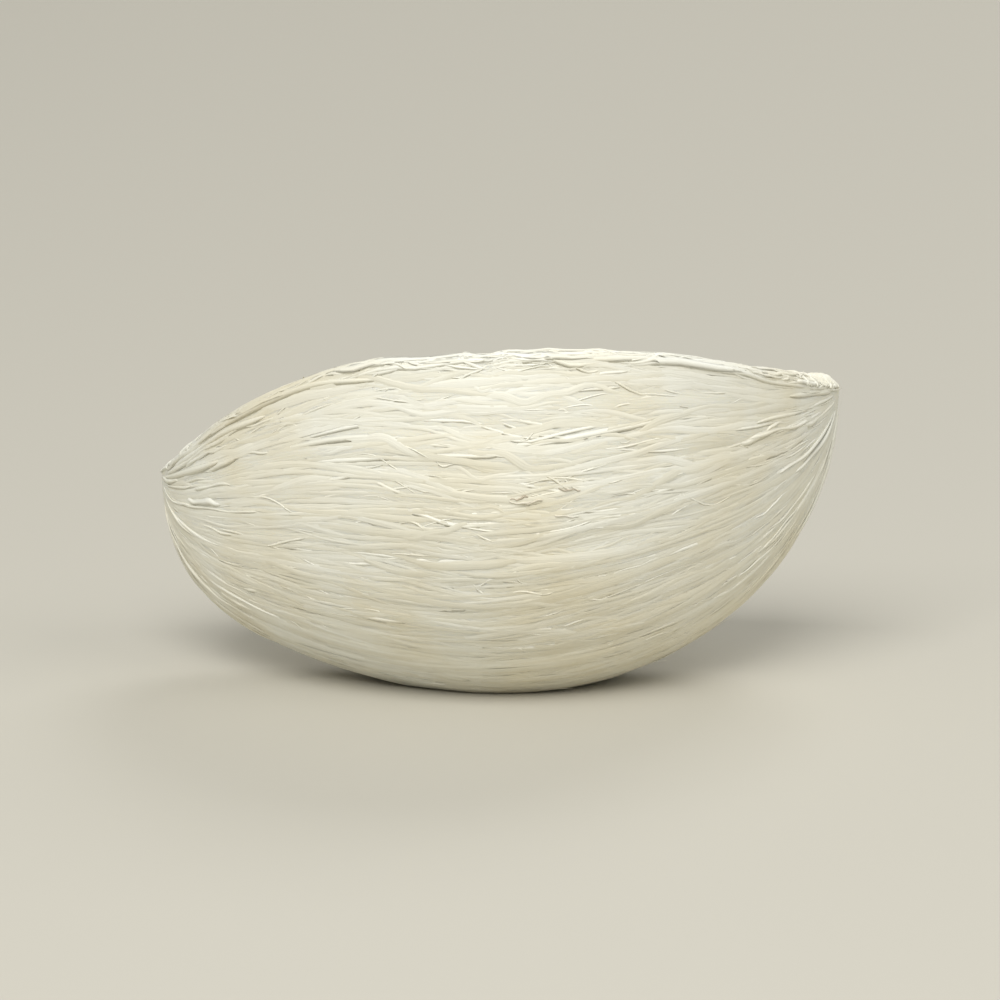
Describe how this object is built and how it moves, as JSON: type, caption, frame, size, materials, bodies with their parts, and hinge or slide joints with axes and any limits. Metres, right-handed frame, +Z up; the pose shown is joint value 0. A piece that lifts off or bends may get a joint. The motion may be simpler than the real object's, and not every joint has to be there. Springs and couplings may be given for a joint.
{
  "type": "edible bird's nest",
  "caption": "Cleaned, dried edible bird's nest: a thin boat-shaped cup of cream strands laid from tip to tip, open above, resting on a small flat spot.",
  "frame": {"origin": "on the small flat spot under the belly, at the height of the surface that the nest rests on, below the middle of the cup", "axes": "+X from the left tip to the right tip, +Y from the tall front wall to the lower back edge, +Z up out of the hollow"},
  "size_m": [0.084, 0.05, 0.0465],
  "materials": {
    "dried_strand": "dried saliva strands, cream-white, satin on each strand and slightly translucent at thin edges"
  },
  "bodies": {
    "root": {"nest": "dried_strand"}
  },
  "joints": []
}
